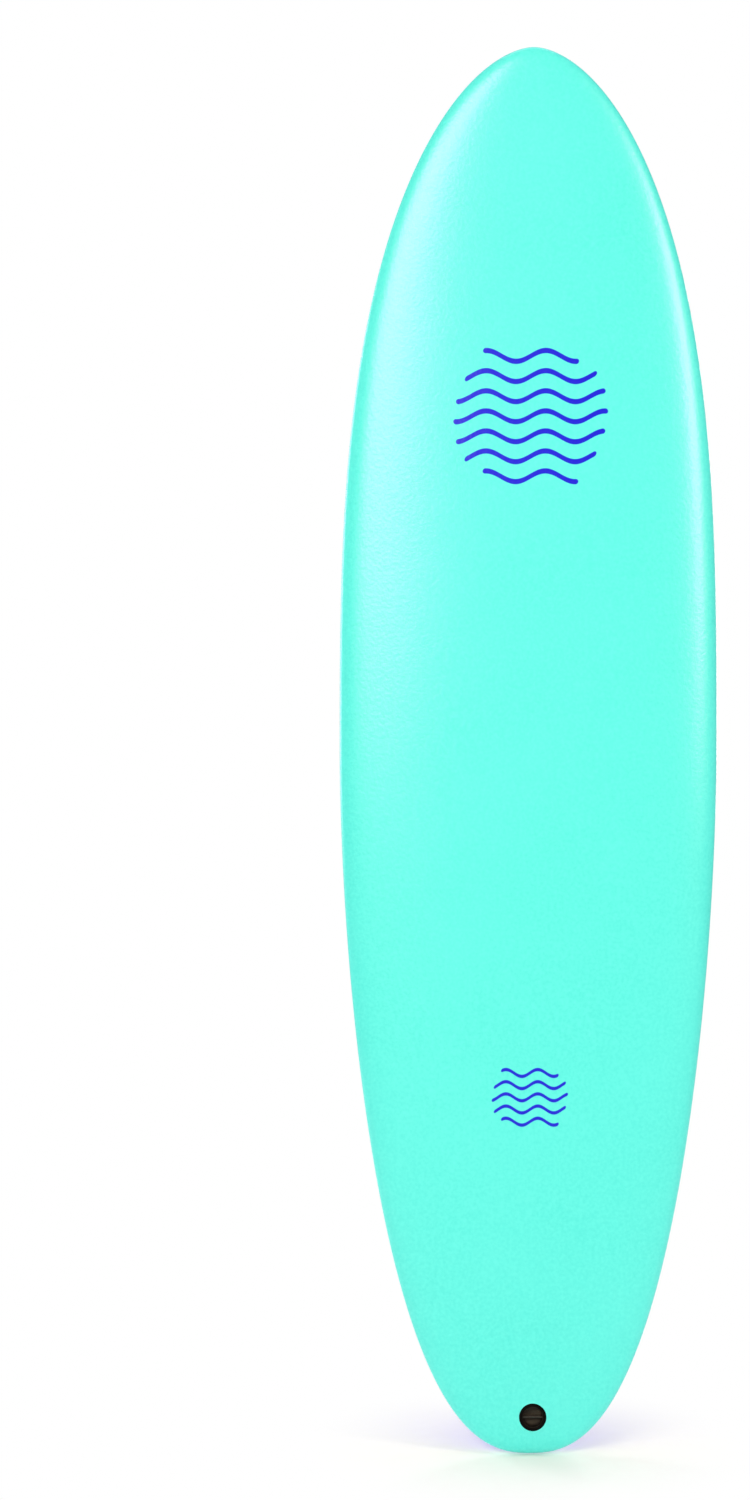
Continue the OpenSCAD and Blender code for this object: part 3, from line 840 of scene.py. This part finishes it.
# Name, place, what it points at, width, height, watts and tint
LIGHTS = (
    ("key_left", (-1.25, -2.3, 0.66), (0, 0, 0.3), 1.55, 0.7, 47, WARM),
    ("strip_right", (2.05, -1.6, 0.6), (0, 0, 0.3), 0.5, 0.8, 27, WARM),
    ("back_right", (1.0, 2.6, 0.5), (0, 0, 0.1), 0.9, 1.4, 36, "#ffffff"),
    ("back_left", (-2.3, 1.6, 0.5), (0, 0, 0.1), 0.6, 1.6, 27, "#ffffff"),
    ("top", (0, 0, 3.6), (0, 0, -1), 3.0, 3.0, 45, "#ffffff"),
)


def make_camera():
    ahead = Vector((0, math.cos(CAMERA_RISE), -math.sin(CAMERA_RISE)))
    up = Vector((0, math.sin(CAMERA_RISE), math.cos(CAMERA_RISE)))
    camera = bpy.data.objects.new("camera", bpy.data.cameras.new("camera"))
    camera.data.lens = LENS
    camera.data.sensor_width = SENSOR
    camera.location = up * BOARD_DOWN - Vector((BOARD_RIGHT, 0, 0)) - ahead * CAMERA_DISTANCE
    camera.rotation_euler = (math.pi / 2 - CAMERA_RISE, 0, 0)
    bpy.context.collection.objects.link(camera)
    bpy.context.scene.camera = camera


def soft_light(name, place, target, width, height, watts, tint):
    light = bpy.data.objects.new(name, bpy.data.lights.new(name, "AREA"))
    light.data.shape = "RECTANGLE"
    light.data.size = width
    light.data.size_y = height
    light.data.energy = watts
    light.data.color = colour(tint)[:3]
    light.location = place
    light.visible_camera = False
    light.rotation_mode = "QUATERNION"
    light.rotation_quaternion = (Vector(target) - Vector(place)).to_track_quat("-Z", "Y")
    bpy.context.collection.objects.link(light)


def make_studio():
    """White surroundings, two soft lights in front, two behind and one above, and a pale floor."""
    world = bpy.data.worlds.new("white_studio")
    world.use_nodes = True
    tree = world.node_tree
    tree.nodes.clear()
    seen = add(tree, "LightPath", out="Is Camera Ray")
    strength = add(tree, "MapRange", {"Value": seen, "To Min": FILL, "To Max": 1.0})
    background = add(tree, "Background", {"Color": (1, 1, 1, 1), "Strength": strength})
    add(tree, "OutputWorld", {"Surface": background})
    bpy.context.scene.world = world

    for light in LIGHTS:
        soft_light(*light)

    bm = bmesh.new()
    bmesh.ops.create_grid(bm, x_segments=8, y_segments=8, size=FLOOR_HALF)
    bmesh.ops.translate(bm, verts=bm.verts, vec=(0, 0, BOARD_LOW.z - FLOOR_GAP))
    floor = to_object(bm, "studio_floor")
    give(floor_material(), floor)
    bpy.context.scene.view_settings.view_transform = "Standard"


# ------------------------------------------------------------------ the board

def mark_painted_edge_highlight(skin):
    """Stores how near each point is to the foam's rounded edge at the seam, as the mask of a painted
    highlight along that edge.
    """
    layer = skin.data.attributes.new("painted_edge_highlight", "FLOAT", "POINT")
    for point, item in zip(skin.data.vertices, layer.data):
        x, y, z = point.co
        u = max(-1.0, min(1.0, z / span(z)))
        seam_x, _ = seam_plan(u)
        near = EDGE_HIGHLIGHT_REACH - (abs(x) - seam_x) / FOAM_EDGE_R
        item.value = max(0.0, min(1.0, near)) if y > apex_y(u, 0) + MM else 0.0


def build():
    make_camera()
    skin = make_deck_skin()
    mark_painted_edge_highlight(skin)
    give(deck_foam_material(), skin)
    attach(skin, "board")
    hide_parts("deck_skin")

    slick_finish = slick_material()
    slick = make_slick()
    weld = make_seam_weld()
    give(slick_finish, slick, weld)
    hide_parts("bottom_slick")
    for made in (slick, weld):
        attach(made, "board")

    box_finish = moulded_material("glass_filled_nylon_black", "#0f0c0b", "#171311", 0.5, 0.12)
    for side, place in BOX_PLACES.items():
        box = make_fin_box(side, place)
        give(box_finish, box)
        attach(box, "board")
        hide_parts(f"fin_box_{side}")

    beads = make_bond_rings()
    give(adhesive_material(), beads)
    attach(beads, "board")
    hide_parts("bond_rings")

    cup_finish = moulded_material("moulded_nylon_dusty", "#080706", "#0c0a09", 0.4, 0.05, dust="#464039")
    base_finish = moulded_material("moulded_nylon_black", "#080706", "#0c0a09", 0.4, 0.05)
    plug = ((make_plug_cup(), "plug_cup", cup_finish), (make_plug_base(), "plug_base", base_finish))
    for made, node, finish in plug:
        give(finish, made)
        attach(made, "board")
        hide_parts(node)

    give_node(turned_steel_material("blackened_stainless_steel", "#3a3633", "#5c5853", 0.35), "plug_bar")
    screws = [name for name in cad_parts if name.startswith("grub_screw")]
    give_node(turned_steel_material("turned_stainless_steel", "#8d9094", "#b4b6b8", 0.25), *screws)
    give_node(bead_foam_material(), "foam_core")
    give_node(plywood_material(), "stringer_centre", "stringer_left", "stringer_right")
    give_node(fine_foam_material("dense_foam_green", "#c3cfb2", "#9fae8a", 1.0),
              "fin_block_left", "fin_block_right", "fin_block_centre", "plug_block")
    give_node(fine_foam_material("backing_foam_white", "#eef6f4", "#cfdedb", 0.8), "bottom_backing")
    give_node(laminate_material(), "deck_laminate", "bottom_laminate")


build()
make_studio()
